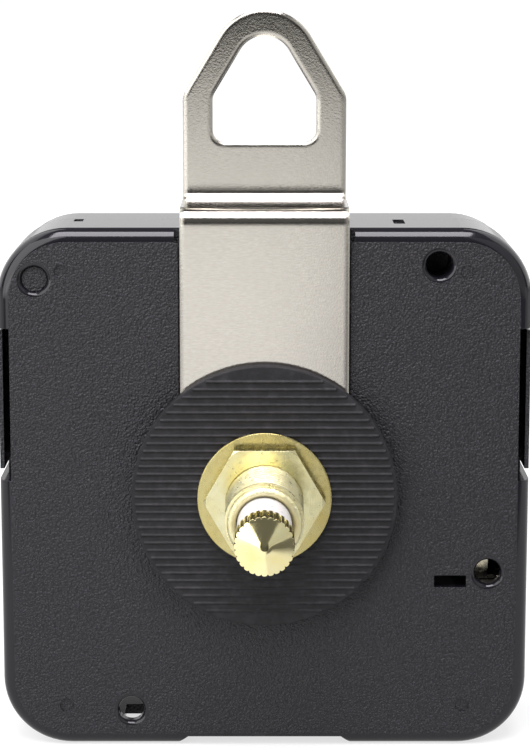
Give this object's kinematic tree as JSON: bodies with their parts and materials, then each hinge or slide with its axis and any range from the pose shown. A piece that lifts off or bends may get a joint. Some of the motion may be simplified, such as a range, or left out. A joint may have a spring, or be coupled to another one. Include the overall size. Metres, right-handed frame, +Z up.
{
  "type": "quartz clock movement",
  "caption": "Square battery clock movement with a steel hanger, a threaded brass bushing with nut and washers, concentric hand shafts and a geared step motor.",
  "frame": {"origin": "on the hand shafts' common axis, in the plane of the case's front face", "axes": "+Z up towards the hanger, -Y out of the front face along the shafts, +X to the right seen from the front; the back cover and its battery bay face +Y"},
  "size_m": [0.056, 0.0366, 0.0784],
  "materials": {
    "case_plastic": "fine grained charcoal moulding",
    "cover_plastic": "fine grained charcoal moulding",
    "bushing_brass": "turned brass, threaded",
    "hanger_steel": "brushed plated steel, bright sheared edges",
    "washer_rubber": "black rubber with fine moulded ribs",
    "washer_brass": "stamped brass",
    "nut_brass": "turned brass with a chamfered front",
    "hour_plastic": "white moulding",
    "arbor_brass": "turned brass",
    "cap_brass": "bright knurled brass",
    "arbor_steel": "ground steel",
    "second_plastic": "natural acetal",
    "third_plastic": "natural acetal",
    "center_plastic": "natural acetal",
    "intermediate_plastic": "natural acetal",
    "rotor_plastic": "natural acetal",
    "magnet_sintered": "sintered magnet",
    "minute_work_plastic": "natural acetal",
    "setting_plastic": "natural acetal",
    "knob_plastic": "dark grey moulding with grip grooves",
    "bridge_plastic": "white moulding",
    "stator_steel": "stamped soft magnetic sheet",
    "core_steel": "stamped soft magnetic sheet",
    "bobbin_plastic": "blue moulding",
    "winding_copper": "enamelled copper wire",
    "board_laminate": "green solder mask over laminate",
    "chip_resin": "black potting resin",
    "crystal_can": "drawn metal can",
    "contact_plus_steel": "nickel plated spring strip",
    "contact_minus_steel": "nickel plated spring strip"
  },
  "bodies": {
    "movement": {"front_case": "case_plastic", "back_cover": "cover_plastic", "center_bushing": "bushing_brass", "hanger": "hanger_steel", "rubber_washer": "washer_rubber", "brass_washer": "washer_brass", "hex_nut": "nut_brass", "train_bridge": "bridge_plastic", "stator": "stator_steel", "coil_core": "core_steel", "coil_bobbin": "bobbin_plastic", "coil_winding": "winding_copper", "circuit_board": "board_laminate", "chip_blob": "chip_resin", "quartz_crystal": "crystal_can", "contact_plus": "contact_plus_steel", "contact_minus": "contact_minus_steel"},
    "second": {"second_arbor": "arbor_steel", "second_wheel": "second_plastic"},
    "third": {"third_wheel": "third_plastic"},
    "center": {"center_wheel": "center_plastic"},
    "intermediate": {"intermediate_wheel": "intermediate_plastic"},
    "rotor": {"rotor_pinion": "rotor_plastic", "rotor_magnet": "magnet_sintered"},
    "minute": {"minute_arbor": "arbor_brass", "cap_nut": "cap_brass"},
    "hour": {"hour_wheel": "hour_plastic"},
    "minute_work": {"minute_work_wheel": "minute_work_plastic"},
    "setting": {"setting_pinion": "setting_plastic", "set_knob": "knob_plastic"}
  },
  "joints": [
    {"name": "second_spin", "type": "hinge", "parent": "movement", "child": "second", "pos_m": [0, 0, 0], "axis": [0, -1, 0], "continuous": true},
    {"name": "third_spin", "type": "hinge", "parent": "movement", "child": "third", "pos_m": [-0.00489, 0, 0.00582], "axis": [0, -1, 0], "continuous": true},
    {"name": "center_spin", "type": "hinge", "parent": "movement", "child": "center", "pos_m": [0, 0, 0], "axis": [0, -1, 0], "continuous": true},
    {"name": "intermediate_spin", "type": "hinge", "parent": "movement", "child": "intermediate", "pos_m": [0.00582, 0, 0.00489], "axis": [0, -1, 0], "continuous": true},
    {"name": "rotor_spin", "type": "hinge", "parent": "movement", "child": "rotor", "pos_m": [0.00867, 0, 0.00982], "axis": [0, -1, 0], "continuous": true},
    {"name": "minute_spin", "type": "hinge", "parent": "movement", "child": "minute", "pos_m": [0, 0, 0], "axis": [0, -1, 0], "continuous": true},
    {"name": "minute_work_spin", "type": "hinge", "parent": "movement", "child": "minute_work", "pos_m": [-0.0062, 0, -0.00226], "axis": [0, -1, 0], "continuous": true},
    {"name": "hour_spin", "type": "hinge", "parent": "movement", "child": "hour", "pos_m": [0, 0, 0], "axis": [0, -1, 0], "continuous": true},
    {"name": "setting_spin", "type": "hinge", "parent": "movement", "child": "setting", "pos_m": [-0.0128, 0, -0.00226], "axis": [0, -1, 0], "continuous": true}
  ],
  "couplings": [
    {"joint": "third_spin", "follows": "second_spin", "ratio": -0.13333},
    {"joint": "center_spin", "follows": "second_spin", "ratio": 0.016667},
    {"joint": "intermediate_spin", "follows": "second_spin", "ratio": -8},
    {"joint": "rotor_spin", "follows": "second_spin", "ratio": 30},
    {"joint": "minute_work_spin", "follows": "minute_spin", "ratio": -0.33333},
    {"joint": "hour_spin", "follows": "minute_spin", "ratio": 0.083333},
    {"joint": "setting_spin", "follows": "minute_spin", "ratio": 1}
  ]
}
